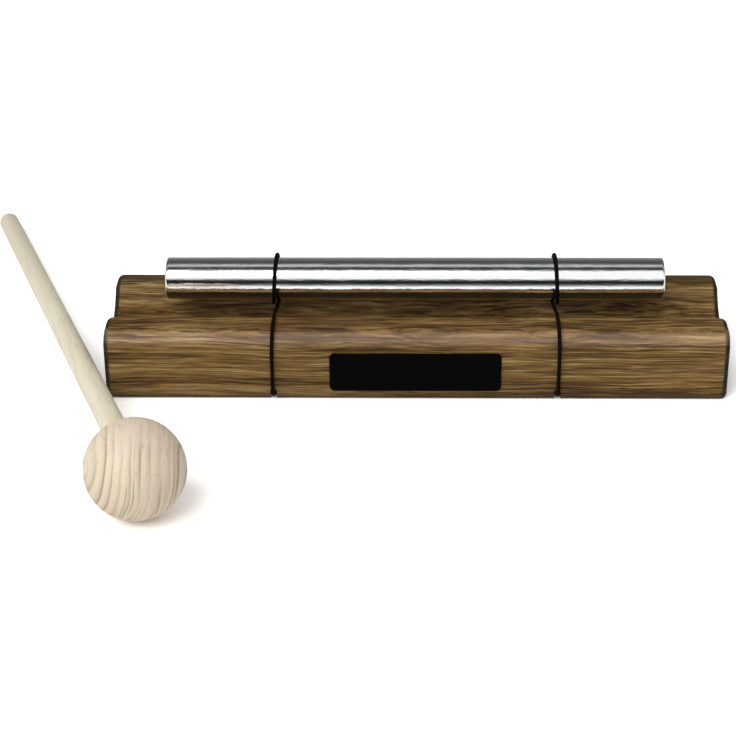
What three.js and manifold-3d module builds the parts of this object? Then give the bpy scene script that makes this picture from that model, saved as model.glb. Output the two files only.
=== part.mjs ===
// A chime bar: one round metal bar tied across the hollow of a wooden base by two elastic cords,
// with the wooden beater that strikes it lying beside the base.
// Millimetres. X runs along the bar, Y away from the player, Z up. The origin is the middle of the
// face that the base stands on.
import * as THREE from "three";
import { mergeVertices } from "three/addons/utils/BufferGeometryUtils.js";
import Module from "manifold-3d";

const wasm = await Module();
wasm.setup();

// Wooden base: a block with a hollow along its top and its long top edges eased back
const baseLength = 216;
const baseDepth = 52;
const baseHeight = 25;
const coveWidth = 25;
const coveDepth = 7;
const topEase = 5.8;
const topEaseBulgeShare = 0.21;
const endEdgeRadius = 2.4;
const bottomEdgeRadius = 1.4;
const sharpestEdge = 0.2;

// Metal bar
const barDiameter = 15;
const barLength = 174;
const barEdgeRadius = 1;
const barShift = -0.4;

// Elastic cords: each makes one full turn round the bar, then runs round the base
const cordDiameter = 1.5;
const cordSquash = 0.1;
const cordSpacing = 98;
const cordTurnPitch = 2;
const cordTurnEase = 1.6;
const grooveWidth = 2.3;
const grooveDepth = 2.4;
const mouthRadius = 1.9;
const knotLength = 6;
const knotWidth = 4.6;
const knotHeight = 3.4;
const recessClearance = 1.2;

// Name plate on the front of the base
const plateWidth = 59.4;
const plateHeight = 14.5;
const plateThickness = 0.8;
const plateCornerRadius = 1.8;
const plateLift = 3.55;

// Beater: a round head on a handle that thins towards its tip
const headDiameter = 33;
const headBoreDepth = 14;
const handleReach = 227;
const handleNeckDiameter = 8.7;
const handleTipDiameter = 7.6;
const handleTipRadius = 2.6;
const malletTurnDegrees = 19.8;
const malletPassingGap = 2.3;
const malletAhead = 76.3;

// Clearances
const gap = 0.3;
const glueGap = 0.1;
const overrun = 1;

// How finely round shapes are divided
const barSides = 48;
const headSides = 40;
const handleSides = 24;
const cordSides = 8;
const coveSteps = 16;
const easeSteps = 5;
const edgeSteps = 4;
const cornerSteps = 4;
const headRings = 20;
const runSteps = 90;
const spanSteps = 6;
const turnSteps = 36;
const recessSides = 24;
const knotSides = 14;

const halfLength = baseLength / 2;
const halfDepth = baseDepth / 2;
const rightAngle = Math.PI / 2;
const fullTurn = Math.PI * 2;

const wood = new THREE.MeshStandardMaterial({ color: "#7d6243", roughness: 0.6, metalness: 0 });
const paleWood = new THREE.MeshStandardMaterial({ color: "#e2d2bb", roughness: 0.65, metalness: 0 });
const metal = new THREE.MeshStandardMaterial({ color: "#d9dadc", roughness: 0.15, metalness: 1 });
const elastic = new THREE.MeshStandardMaterial({ color: "#0b0a0b", roughness: 0.8, metalness: 0 });
const gloss = new THREE.MeshStandardMaterial({ color: "#08080b", roughness: 0.2, metalness: 0 });

const part = new THREE.Group();

function addMesh(parent, name, geometry, material) {
  const mesh = new THREE.Mesh(geometry, material);
  mesh.name = name;
  parent.add(mesh);
  return mesh;
}

// Solids for cutting and joining

function solidOf(geometry) {
  const bare = geometry.clone();
  bare.deleteAttribute("normal");
  bare.deleteAttribute("uv");
  const merged = mergeVertices(bare);
  return new wasm.Manifold(
    new wasm.Mesh({
      numProp: 3,
      vertProperties: merged.attributes.position.array,
      triVerts: new Uint32Array(merged.index.array),
    }),
  );
}

function geometryOf(solid) {
  const mesh = solid.getMesh();
  return new THREE.BufferGeometry()
    .setAttribute("position", new THREE.BufferAttribute(mesh.vertProperties, 3))
    .setIndex(new THREE.BufferAttribute(mesh.triVerts, 1));
}

// Wooden base

function arcPoints(centreAcross, centreUp, radius, from, to, steps) {
  const points = [];
  for (let i = 0; i <= steps; i++) {
    const angle = from + ((to - from) * i) / steps;
    points.push([centreAcross + radius * Math.cos(angle), centreUp + radius * Math.sin(angle)]);
  }
  return points;
}

// The eased long edge is an arc on a chord that cuts the corner off
const easeChord = topEase * Math.SQRT2;
const easeBulge = topEase * topEaseBulgeShare;
const easeRadius = easeChord ** 2 / (8 * easeBulge) + easeBulge / 2;
const easeCentreIn = topEase / 2 + (easeRadius - easeBulge) * Math.SQRT1_2;
const coveRadius = ((coveWidth / 2) ** 2 + coveDepth ** 2) / (2 * coveDepth);
const coveCentreZ = baseHeight - coveDepth + coveRadius;

// Half of the end profile at the back, from the table up to the middle of the hollow, drawn in by inset
function halfProfile(inset) {
  const easeStart = Math.acos((easeCentreIn - inset) / (easeRadius - inset));
  const coveReach = Math.acos((coveCentreZ - baseHeight + inset) / (coveRadius + inset));
  const bottomRadius = Math.max(bottomEdgeRadius - inset, sharpestEdge);
  const bottomIn = inset + bottomRadius;
  return [
    ...arcPoints(halfDepth - bottomIn, bottomIn, bottomRadius, -rightAngle, 0, edgeSteps),
    ...arcPoints(
      halfDepth - easeCentreIn, baseHeight - easeCentreIn, easeRadius - inset,
      easeStart, rightAngle - easeStart, easeSteps,
    ),
    ...arcPoints(
      0, coveCentreZ, coveRadius + inset, coveReach - rightAngle, -rightAngle, coveSteps / 2,
    ),
  ];
}

function fullProfile(inset) {
  const back = halfProfile(inset);
  const front = back.slice(0, -1).reverse().map(([y, z]) => [-y, z]);
  return [...back, ...front];
}

// A closed skin through the same profile drawn at several places along X
function loftGeometry(sections) {
  const count = sections[0].points.length;
  const positions = sections.flatMap(({ x, points }) => points.flatMap(([y, z]) => [x, y, z]));
  const faces = [];
  for (let s = 0; s + 1 < sections.length; s++) {
    for (let i = 0; i < count; i++) {
      const next = (i + 1) % count;
      const [a, b] = [s * count + i, s * count + next];
      const [c, d] = [a + count, b + count];
      faces.push(a, b, d, a, d, c);
    }
  }
  const flat = sections[0].points.map(([y, z]) => new THREE.Vector2(y, z));
  const last = (sections.length - 1) * count;
  for (const [a, b, c] of THREE.ShapeUtils.triangulateShape(flat, [])) {
    faces.push(c, b, a, last + a, last + b, last + c);
  }
  return new THREE.BufferGeometry()
    .setAttribute("position", new THREE.Float32BufferAttribute(positions, 3))
    .setIndex(faces);
}

function blockGeometry() {
  const ends = [];
  for (let i = 0; i <= edgeSteps; i++) {
    const angle = (rightAngle * i) / edgeSteps;
    const inset = endEdgeRadius * (1 - Math.sin(angle));
    const x = halfLength - endEdgeRadius * (1 - Math.cos(angle));
    ends.push({ x, points: fullProfile(inset) });
  }
  const left = ends.map(({ x, points }) => ({ x: -x, points }));
  return loftGeometry([...left, ...ends.reverse()]);
}

const cordRadius = cordDiameter / 2;
const cordSeat = gap + cordRadius;
const faceY = halfDepth + cordSeat;
const grooveZ = grooveDepth - cordSeat;
const recessRadius = knotLength / 2 + recessClearance;
const recessDepth = knotHeight + recessClearance;
const grooveShiftX = cordTurnPitch / 8;

function grooveX(side) {
  return side * (cordSpacing / 2 + grooveShiftX);
}

// The middle of the rounded lip over which the cord leaves its groove
const mouthY = halfDepth - mouthRadius;
const mouthZ = grooveDepth + mouthRadius;

// The side view of the cord's groove, whose roof curves up into each long face
function grooveShape() {
  const end = halfDepth + overrun;
  const back = [[end, -overrun], [end, mouthZ]];
  const roof = arcPoints(mouthY, mouthZ, mouthRadius, 0, -rightAngle, edgeSteps);
  const half = [...back, ...roof];
  const front = half.map(([y, z]) => [-y, z]).reverse();
  return new THREE.Shape([...half, ...front].map(([y, z]) => new THREE.Vector2(y, z)));
}

// The cord's way under the base: its groove and a round recess for its knot
function cordWaySolid(side) {
  const x = grooveX(side);
  const turned = new THREE.Matrix4().makeBasis(
    new THREE.Vector3(0, 1, 0), new THREE.Vector3(0, 0, 1), new THREE.Vector3(1, 0, 0),
  );
  const groove = solidOf(
    new THREE.ExtrudeGeometry(grooveShape(), { depth: grooveWidth, bevelEnabled: false })
      .applyMatrix4(turned)
      .translate(x - grooveWidth / 2, 0, 0),
  );
  const height = recessDepth + overrun;
  const recess = solidOf(
    new THREE.CylinderGeometry(recessRadius, recessRadius, height, recessSides)
      .rotateX(rightAngle)
      .translate(x, 0, recessDepth - height / 2),
  );
  return groove.add(recess);
}

const block = [-1, 1].reduce(
  (solid, side) => solid.subtract(cordWaySolid(side)),
  solidOf(blockGeometry()),
);
addMesh(part, "base_block", geometryOf(block), wood);

// Name plate

function plateShape() {
  const [x, y, r] = [plateWidth / 2, plateHeight / 2, plateCornerRadius];
  const shape = new THREE.Shape();
  shape.absarc(x - r, y - r, r, 0, rightAngle, false);
  shape.absarc(r - x, y - r, r, rightAngle, Math.PI, false);
  shape.absarc(r - x, r - y, r, Math.PI, Math.PI + rightAngle, false);
  shape.absarc(x - r, r - y, r, Math.PI + rightAngle, fullTurn, false);
  return shape;
}

const plate = addMesh(
  part,
  "name_plate",
  new THREE.ExtrudeGeometry(plateShape(), {
    depth: plateThickness, bevelEnabled: false, curveSegments: cornerSteps,
  }),
  gloss,
);
plate.rotation.x = rightAngle;
plate.position.set(0, -halfDepth - glueGap, plateLift + plateHeight / 2);

// Metal bar, lying on the two cords just above the edges of the hollow

const barRadius = barDiameter / 2;
const turnRadius = barRadius + cordSeat;
const ridgeCordZ = baseHeight + cordSeat;
const barZ = baseHeight + cordDiameter - cordSquash + barRadius;

function barGeometry() {
  const end = barLength / 2;
  const [r, y] = [barRadius - barEdgeRadius, end - barEdgeRadius];
  const profile = [
    [0, -end],
    ...arcPoints(r, -y, barEdgeRadius, -rightAngle, 0, edgeSteps),
    ...arcPoints(r, y, barEdgeRadius, 0, rightAngle, edgeSteps),
    [0, end],
  ];
  return new THREE.LatheGeometry(profile.map((point) => new THREE.Vector2(...point)), barSides);
}

const bar = addMesh(part, "tone_bar", barGeometry(), metal);
bar.rotation.z = rightAngle;
bar.position.set(barShift, 0, barZ);

// Elastic cords

function cordTube(points, steps) {
  const section = new THREE.Shape();
  for (let i = 0; i < cordSides; i++) {
    const angle = (fullTurn * i) / cordSides;
    const [x, y] = [cordRadius * Math.cos(angle), cordRadius * Math.sin(angle)];
    if (i === 0) {
      section.moveTo(x, y);
    } else {
      section.lineTo(x, y);
    }
  }
  section.closePath();
  const extrudePath = new THREE.CatmullRomCurve3(points);
  return new THREE.ExtrudeGeometry(section, { steps, bevelEnabled: false, extrudePath });
}

// Where each stretch of a cord stands along X, as distances out from the middle of the bar
const turnStartX = cordSpacing / 2 - cordTurnPitch / 2;
const turnEndX = cordSpacing / 2 + cordTurnPitch / 2;
const frontRidgeX = turnStartX + cordTurnPitch * 0.6;
const backRidgeX = turnEndX - cordTurnPitch / 8;
const faceX = turnEndX - cordTurnPitch / 4;

// The run round the base, from the front edge of the hollow down, under and up to its back edge
function runPoints(side) {
  const ridgeY = coveWidth / 2 + gap;
  const easeCentreY = halfDepth - easeCentreIn;
  const easeCentreZ = baseHeight - easeCentreIn;
  const easeStart = Math.acos(easeCentreIn / easeRadius);
  const over = arcPoints(
    easeCentreY, easeCentreZ, easeRadius + cordSeat, rightAngle - easeStart, easeStart, easeSteps,
  );
  const underX = cordSpacing / 2 + grooveShiftX;
  const down = [
    [faceY, baseHeight - topEase - cordDiameter],
    [faceY, mouthZ + cordDiameter],
    ...arcPoints(mouthY, mouthZ, mouthRadius + cordSeat, 0, -rightAngle, edgeSteps),
    [mouthY - cordDiameter, grooveZ],
    [recessRadius + cordDiameter, grooveZ],
  ];
  const flat = [[ridgeY, ridgeCordZ], [(ridgeY + easeCentreY) / 2, ridgeCordZ]];
  const half = [...flat, ...over, ...down];
  const turnIn = half.length - down.length;
  function lateral(index, ridgeX) {
    if (index < turnIn) {
      return ridgeX + ((faceX - ridgeX) * index) / turnIn;
    }
    return faceX + ((underX - faceX) * (index - turnIn)) / (down.length - 1);
  }
  const front = half.map(([y, z], i) => new THREE.Vector3(side * lateral(i, frontRidgeX), -y, z));
  const back = half.map(([y, z], i) => new THREE.Vector3(side * lateral(i, backRidgeX), y, z));
  return [...front, new THREE.Vector3(side * underX, 0, grooveZ), ...back.reverse()];
}

function knotGeometry(side) {
  return new THREE.SphereGeometry(1, knotSides, knotSides / 2)
    .scale(knotWidth / 2, knotLength / 2, knotHeight / 2)
    .translate(grooveX(side), 0, grooveZ + (knotHeight - cordDiameter) / 2);
}

// One full turn round the bar: up behind it, over, and down in front
function turnPoints(side) {
  const points = [];
  for (let i = 0; i <= turnSteps; i++) {
    const angle = (fullTurn * i) / turnSteps;
    const advance = cordTurnPitch * (i / turnSteps) ** cordTurnEase;
    points.push(
      new THREE.Vector3(
        side * (turnStartX + advance), turnRadius * Math.sin(angle), barZ - turnRadius * Math.cos(angle),
      ),
    );
  }
  return points;
}

function spanPoints(side, way, underX, ridgeX) {
  const ridgeY = coveWidth / 2;
  const lowZ = barZ - turnRadius;
  return [
    new THREE.Vector3(side * underX, way * gap, lowZ),
    new THREE.Vector3(side * (underX + ridgeX) / 2, (way * ridgeY) / 2, (lowZ + ridgeCordZ) / 2),
    new THREE.Vector3(side * ridgeX, way * ridgeY, ridgeCordZ),
  ];
}

for (const [side, word] of [[-1, "left"], [1, "right"]]) {
  const run = solidOf(cordTube(runPoints(side), runSteps)).add(solidOf(knotGeometry(side)));
  addMesh(part, "cord_" + word + "_wrap", geometryOf(run), elastic);
  addMesh(part, "cord_" + word + "_turn", cordTube(turnPoints(side), turnSteps), elastic);
  const frontSpan = spanPoints(side, -1, turnStartX, frontRidgeX);
  addMesh(part, "cord_" + word + "_front_span", cordTube(frontSpan, spanSteps), elastic);
  const backSpan = spanPoints(side, 1, turnEndX, backRidgeX);
  addMesh(part, "cord_" + word + "_back_span", cordTube(backSpan, spanSteps), elastic);
}

// Beater, lying in front of the left end with its handle passing the base

const headRadius = headDiameter / 2;
const boreRadius = handleNeckDiameter / 2 + gap;
const boreFloor = headRadius - headBoreDepth;

function headGeometry() {
  const mouth = Math.asin(boreRadius / headRadius);
  const profile = [];
  for (let i = 0; i <= headRings; i++) {
    const angle = Math.PI - ((Math.PI - mouth) * i) / headRings;
    profile.push(new THREE.Vector2(headRadius * Math.sin(angle), headRadius * Math.cos(angle)));
  }
  profile[0].x = 0;
  profile.push(new THREE.Vector2(boreRadius, boreFloor), new THREE.Vector2(0, boreFloor));
  return new THREE.LatheGeometry(profile, headSides);
}

// The handle is straight inside the head and thins from there to its rounded tip
const tipAlong = handleReach - handleTipRadius;
const tipAcross = handleTipDiameter / 2;

function handleGeometry() {
  const start = boreFloor + gap;
  const neckRadius = handleNeckDiameter / 2;
  const flatTip = tipAcross - handleTipRadius;
  const profile = [
    [0, start], [neckRadius, start], [neckRadius, headRadius],
    ...arcPoints(flatTip, tipAlong, handleTipRadius, 0, rightAngle, cornerSteps),
    [0, handleReach],
  ];
  return new THREE.LatheGeometry(profile.map((point) => new THREE.Vector2(...point)), handleSides);
}

// The head and the handle's tip both rest on the table, so the handle dips towards its tip
const dip = Math.asin(headRadius / Math.hypot(tipAlong, tipAcross)) - Math.atan2(tipAcross, tipAlong);
const malletTurn = THREE.MathUtils.degToRad(malletTurnDegrees);
const handleAway = new THREE.Vector2(-Math.sin(malletTurn), Math.cos(malletTurn));
const handleRight = new THREE.Vector2(Math.cos(malletTurn), Math.sin(malletTurn));
const passing = handleNeckDiameter / 2 + malletPassingGap;

const mallet = new THREE.Group();
mallet.position.set(
  -halfLength - handleAway.x * malletAhead - handleRight.x * passing,
  -halfDepth - handleAway.y * malletAhead - handleRight.y * passing,
  headRadius,
);
mallet.quaternion.setFromUnitVectors(
  new THREE.Vector3(0, 1, 0),
  new THREE.Vector3(handleAway.x * Math.cos(dip), handleAway.y * Math.cos(dip), -Math.sin(dip)),
);
part.add(mallet);
addMesh(mallet, "mallet_head", headGeometry(), paleWood);
addMesh(mallet, "mallet_handle", handleGeometry(), paleWood);

export default part;
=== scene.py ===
"""Looks of the chime bar: wooden base, turned metal bar, elastic cords, name plate and beater.

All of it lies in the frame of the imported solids: X along the bar, Y away from the player, Z up.
Shapes and the camera's place are written in millimetres, from the lengths that the solids are made
of, and become metres in the mesh. Materials, floor and cards are written in metres."""

import math

import bmesh
import bpy
from mathutils import Matrix, Vector


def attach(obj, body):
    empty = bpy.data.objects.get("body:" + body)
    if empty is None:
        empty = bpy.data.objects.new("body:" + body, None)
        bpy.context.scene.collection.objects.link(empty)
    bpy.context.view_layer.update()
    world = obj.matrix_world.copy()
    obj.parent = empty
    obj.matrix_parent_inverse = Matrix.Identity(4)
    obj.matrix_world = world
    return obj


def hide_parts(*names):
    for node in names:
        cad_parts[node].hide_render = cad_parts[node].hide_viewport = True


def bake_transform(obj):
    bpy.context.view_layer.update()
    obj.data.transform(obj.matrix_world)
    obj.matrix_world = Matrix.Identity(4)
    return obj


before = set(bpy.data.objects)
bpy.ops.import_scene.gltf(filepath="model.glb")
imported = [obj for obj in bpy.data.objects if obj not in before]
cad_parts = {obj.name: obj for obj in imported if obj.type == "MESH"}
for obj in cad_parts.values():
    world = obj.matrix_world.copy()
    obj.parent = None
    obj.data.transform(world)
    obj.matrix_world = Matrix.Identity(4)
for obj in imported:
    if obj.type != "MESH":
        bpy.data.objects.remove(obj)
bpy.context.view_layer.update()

MM = 0.001
QUARTER_TURN = math.pi / 2
FULL_TURN = 2 * math.pi

# The photograph in pixels: its side, where its sight line meets it, and the length of its lens
PHOTO_SIDE_PX = 736
SIGHT_PX = (348.4, 366.7)
LENS_PX = 2153.9

# Camera
SENSOR_MM = 36.0
CLIP_START = 0.01
CAMERA_PLACE = (-0.8, -677.6, 371.8)
CAMERA_DIP = math.radians(28.84)
CAMERA_TURN_LEFT = math.radians(1.96)
CAMERA_ROLL = math.radians(-0.81)

# Wooden base. The bulge is a share of the easing's reach.
BASE_LENGTH, BASE_DEPTH, BASE_HEIGHT = 216.0, 52.0, 25.0
COVE_WIDTH, COVE_DEPTH = 25.0, 7.0
TOP_EASE, TOP_EASE_BULGE = 5.8, 0.21
END_EDGE, BOTTOM_EDGE, SHARPEST_EDGE = 2.4, 1.4, 0.2
EASE_SOFTENING, RIDGE_SOFTENING, CUT_SOFTENING = 0.45, 0.6, 0.2
GROOVE_WIDTH, GROOVE_DEPTH, MOUTH_RADIUS = 2.3, 2.4, 1.9
RECESS_RADIUS, RECESS_DEPTH, RECESS_CHAMFER = 4.2, 4.6, 0.5

# Metal bar. The centre drill's mark goes from its bottom to its rim, as pairs of radius and depth.
BAR_DIAMETER, BAR_LENGTH, BAR_EDGE = 15.0, 174.0, 1.0
BAR_SHIFT, BAR_Z = -0.4, 33.9
CENTRE_DRILL = ((0.0, 0.7), (0.55, 0.25), (0.8, 0.0))

# Elastic cords, drawn thinner by their stretch than the solids, whose 1.5 is the slack diameter
CORD_DIAMETER = 1.3
CORD_SPACING, CORD_PITCH, CORD_EASE = 98.0, 2.0, 1.6
GAP = 0.3

# Knots under the base. The cut ends are places measured from the knot's middle.
KNOT_TURNS, KNOT_LENGTH = 3, 4.1
KNOT_HALF_WIDTH, KNOT_HALF_HEIGHT, KNOT_LIFT = 1.5, 0.92, 0.95
KNOT_START = math.radians(135)
KNOT_END_IN = ((-3.1, -2.9, 0.2), (-2.0, -2.5, 0.3))
KNOT_END_OUT = ((1.0, 2.6, -0.1), (2.6, 3.0, 0.0))

# Name plate. Its crown rises from the inset to the flat middle.
PLATE_WIDTH, PLATE_HEIGHT, PLATE_THICKNESS = 59.4, 14.5, 0.8
PLATE_CORNER, PLATE_LIFT = 1.8, 3.55
PLATE_ROUNDING, PLATE_CROWN, PLATE_CROWN_INSET = 0.35, 0.06, 1.35
GLUE_GAP = 0.1

# Beater. The softened rim is given from its brim down, as pairs of distance from bore and brim.
HEAD_DIAMETER, HEAD_BORE = 33.0, 14.0
BORE_FIT, BRIM_WIDTH = 0.05, 0.35
SOFTENED_RIM = ((0.1, 0.12), (0.0, 0.45))
HANDLE_REACH = 227.0
HANDLE_NECK, HANDLE_TIP, HANDLE_TIP_ROUNDING = 8.7, 7.6, 2.6
MALLET_TURN = math.radians(19.8)
MALLET_PASSING_GAP, MALLET_AHEAD = 2.3, 76.3

# How finely shapes are divided
BOTTOM_STEPS, EASE_STEPS, COVE_STEPS, END_STEPS = 8, 10, 18, 10
SOFTENING_STEPS, CUT_MOUTH_STEPS, RECESS_SIDES = 4, 10, 48
BAR_EDGE_STEPS, BAR_SIDES = 12, 128
PLATE_CORNER_STEPS, PLATE_ROUNDING_STEPS = 8, 6
CORD_SIDES, TURN_STEPS, SPAN_STEPS = 16, 120, 24
CORD_EASE_STEPS, CORD_MOUTH_STEPS, RUN_SMOOTHING = 5, 4, 9
KNOT_STEPS, KNOT_SMOOTHING = 28, 2
HEAD_STEPS, HEAD_SIDES, TIP_STEPS, HANDLE_SIDES = 48, 96, 8, 56


def make_camera():
    data = bpy.data.cameras.new("camera")
    data.sensor_width = SENSOR_MM
    data.lens = LENS_PX * SENSOR_MM / PHOTO_SIDE_PX
    data.shift_x = (PHOTO_SIDE_PX / 2 - SIGHT_PX[0]) / PHOTO_SIDE_PX
    data.shift_y = (SIGHT_PX[1] - PHOTO_SIDE_PX / 2) / PHOTO_SIDE_PX
    data.clip_start = CLIP_START
    camera = bpy.data.objects.new("camera", data)
    camera.matrix_world = (
        Matrix.Translation(Vector(CAMERA_PLACE) * MM)
        @ Matrix.Rotation(CAMERA_TURN_LEFT, 4, "Z")
        @ Matrix.Rotation(QUARTER_TURN - CAMERA_DIP, 4, "X")
        @ Matrix.Rotation(CAMERA_ROLL, 4, "Z")
    )
    bpy.context.scene.collection.objects.link(camera)
    bpy.context.scene.camera = camera


# Materials

def tone(r, g, b):
    """A colour written as it shows, 0 to 255, as the linear colour that a shader takes."""
    def linear(value):
        # The sRGB curve
        value /= 255
        return value / 12.92 if value <= 0.04045 else ((value + 0.055) / 1.055) ** 2.4
    return tuple(linear(v) for v in (r, g, b))


class Graph:
    """A material's node tree round one Principled shader. Its methods from place to bump add nodes
    and give back an output. What goes into them may be another node's output or a constant."""

    # The Mix node's sockets for colours, whose names are those of its other sockets too
    MIX_SHARE, MIX_A, MIX_B, MIX_RESULT = 0, 6, 7, 2

    def __init__(self, name):
        self.material = bpy.data.materials.new(name)
        self.material.use_nodes = True
        self.tree = self.material.node_tree
        self.tree.nodes.clear()
        output = self.node("OutputMaterial")
        self.shader = self.node("BsdfPrincipled")
        self.link(self.shader.outputs["BSDF"], output.inputs["Surface"])

    def node(self, kind):
        return self.tree.nodes.new("ShaderNode" + kind)

    def link(self, source, target):
        self.tree.links.new(source, target)

    def feed(self, socket, value):
        if isinstance(value, bpy.types.NodeSocket):
            self.link(value, socket)
        elif value is not None:
            socket.default_value = value

    def place(self):
        """A point's place in metres, in the frame of the whole object at rest."""
        return self.node("TexCoord").outputs["Object"]

    def surface(self):
        """A point's UV place: turns round a cord, and millimetres along it."""
        return self.node("TexCoord").outputs["UV"]

    def facing(self):
        """The direction a surface faces, as its X, Y and Z."""
        return self.split(self.node("TexCoord").outputs["Normal"])

    def math(self, operation, a, b=None):
        node = self.node("Math")
        node.operation = operation
        self.feed(node.inputs[0], a)
        self.feed(node.inputs[1], b)
        return node.outputs["Value"]

    def add(self, *terms):
        """The sum of several values, each a socket, a number, or a pair of value and weight."""
        total = None
        for term in terms:
            if isinstance(term, tuple):
                term = self.math("MULTIPLY", *term)
            total = term if total is None else self.math("ADD", total, term)
        return total

    def minus(self, a, b):
        return self.math("SUBTRACT", a, b)

    def times(self, a, b):
        return self.math("MULTIPLY", a, b)

    def size(self, value):
        """A value without its sign."""
        return self.math("ABSOLUTE", value)

    def distance(self, a, b):
        """The long side of a right triangle with the short sides a and b."""
        return self.math("SQRT", self.add((a, a), (b, b)))

    def dot(self, vector, direction):
        node = self.node("VectorMath")
        node.operation = "DOT_PRODUCT"
        self.feed(node.inputs[0], vector)
        node.inputs[1].default_value = direction
        return node.outputs["Value"]

    def split(self, vector):
        node = self.node("SeparateXYZ")
        self.feed(node.inputs["Vector"], vector)
        return node.outputs["X"], node.outputs["Y"], node.outputs["Z"]

    def join(self, x, y, z):
        node = self.node("CombineXYZ")
        for socket, value in zip(node.inputs, (x, y, z)):
            self.feed(socket, value)
        return node.outputs["Vector"]

    def noise(self, vector, scale, detail=2.0, rough=0.5, move=(0, 0, 0)):
        """Noise from 0 to 1. Its scale is how many waves a unit of length holds along each axis."""
        stretched = self.node("Mapping")
        self.feed(stretched.inputs["Vector"], vector)
        stretched.inputs["Scale"].default_value = scale
        stretched.inputs["Location"].default_value = move
        node = self.node("TexNoise")
        self.feed(node.inputs["Vector"], stretched.outputs["Vector"])
        node.inputs["Scale"].default_value = 1.0
        node.inputs["Detail"].default_value = detail
        node.inputs["Roughness"].default_value = rough
        return node.outputs["Fac"]

    def step(self, value, between, to=(0.0, 1.0)):
        """A smooth change from to's first number to its second while the value goes between two."""
        node = self.node("MapRange")
        node.interpolation_type = "SMOOTHSTEP"
        self.feed(node.inputs["Value"], value)
        node.inputs["From Min"].default_value, node.inputs["From Max"].default_value = between
        node.inputs["To Min"].default_value, node.inputs["To Max"].default_value = to
        return node.outputs["Result"]

    def ramp(self, value, stops):
        node = self.node("ValToRGB")
        self.feed(node.inputs["Fac"], value)
        elements = node.color_ramp.elements
        while len(elements) < len(stops):
            elements.new(0.5)
        for element, (position, color) in zip(elements, stops):
            element.position = position
            element.color = (*color, 1.0)
        return node.outputs["Color"]

    def mix(self, share, a, b, blend="MIX"):
        node = self.node("Mix")
        node.data_type = "RGBA"
        node.blend_type = blend
        self.feed(node.inputs[self.MIX_SHARE], share)
        for index, value in ((self.MIX_A, a), (self.MIX_B, b)):
            self.feed(node.inputs[index], (*value, 1.0) if isinstance(value, tuple) else value)
        return node.outputs[self.MIX_RESULT]

    def bump(self, height, distance, strength):
        node = self.node("Bump")
        node.inputs["Distance"].default_value = distance
        node.inputs["Strength"].default_value = strength
        self.feed(node.inputs["Height"], height)
        return node.outputs["Normal"]

    def finish(self, color, roughness, normal=None, **constants):
        self.feed(self.shader.inputs["Base Color"], color)
        self.feed(self.shader.inputs["Roughness"], roughness)
        self.feed(self.shader.inputs["Normal"], normal)
        for name, value in constants.items():
            self.shader.inputs[name.replace("_", " ")].default_value = value
        return self.material


# Brown wood: where its pith lies and how far from the block, its tones, and where on the block the
# painted sheen and the painted shade begin and end
PITH_Y, PITH_Z, PITH_DISTANCE = 0.030, -0.085, 0.1
GRAIN_TONES = (
    (0.41, tone(54, 34, 9)), (0.46, tone(88, 62, 24)), (0.505, tone(115, 87, 40)),
    (0.55, tone(137, 108, 60)), (0.60, tone(164, 138, 90)),
)
# Tones of the cut ends: darker end grain, with painted shade on top
END_GRAIN_AND_SHADE_TONES = ((0.38, tone(25, 17, 7)), (0.50, tone(44, 33, 17)), (0.64, tone(66, 51, 30)))
# The third tone on the next line, with the gain two lines further down, is a painted sheen on the
# eased edges
BLUSH_TONE, PORE_TONE, PAINTED_SHEEN_TONE = tone(120, 84, 48), tone(44, 27, 9), tone(142, 120, 100)
# The three tones on the next line are painted shade: in the hollow and on the far ridge, towards
# the table, and on faces turned down
PAINTED_SHADE_TONE, FOOT_SHADE_TONE, UNDERSIDE_SHADE_TONE = tone(44, 30, 11), tone(56, 37, 16), tone(46, 31, 14)
PAINTED_SHEEN_GAIN = (1.38, 1.40, 1.55)
PAINTED_SHEEN_Y = (0.0185, 0.0215)
FAR_SHADE_Y = (0.0115, 0.0170)
NEAR_SHADE_Y, NEAR_SHADE_END_Y = (0.002, -0.005), (-0.0127, -0.0119)
FOOT_Z = (0.0055, 0.001)


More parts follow.
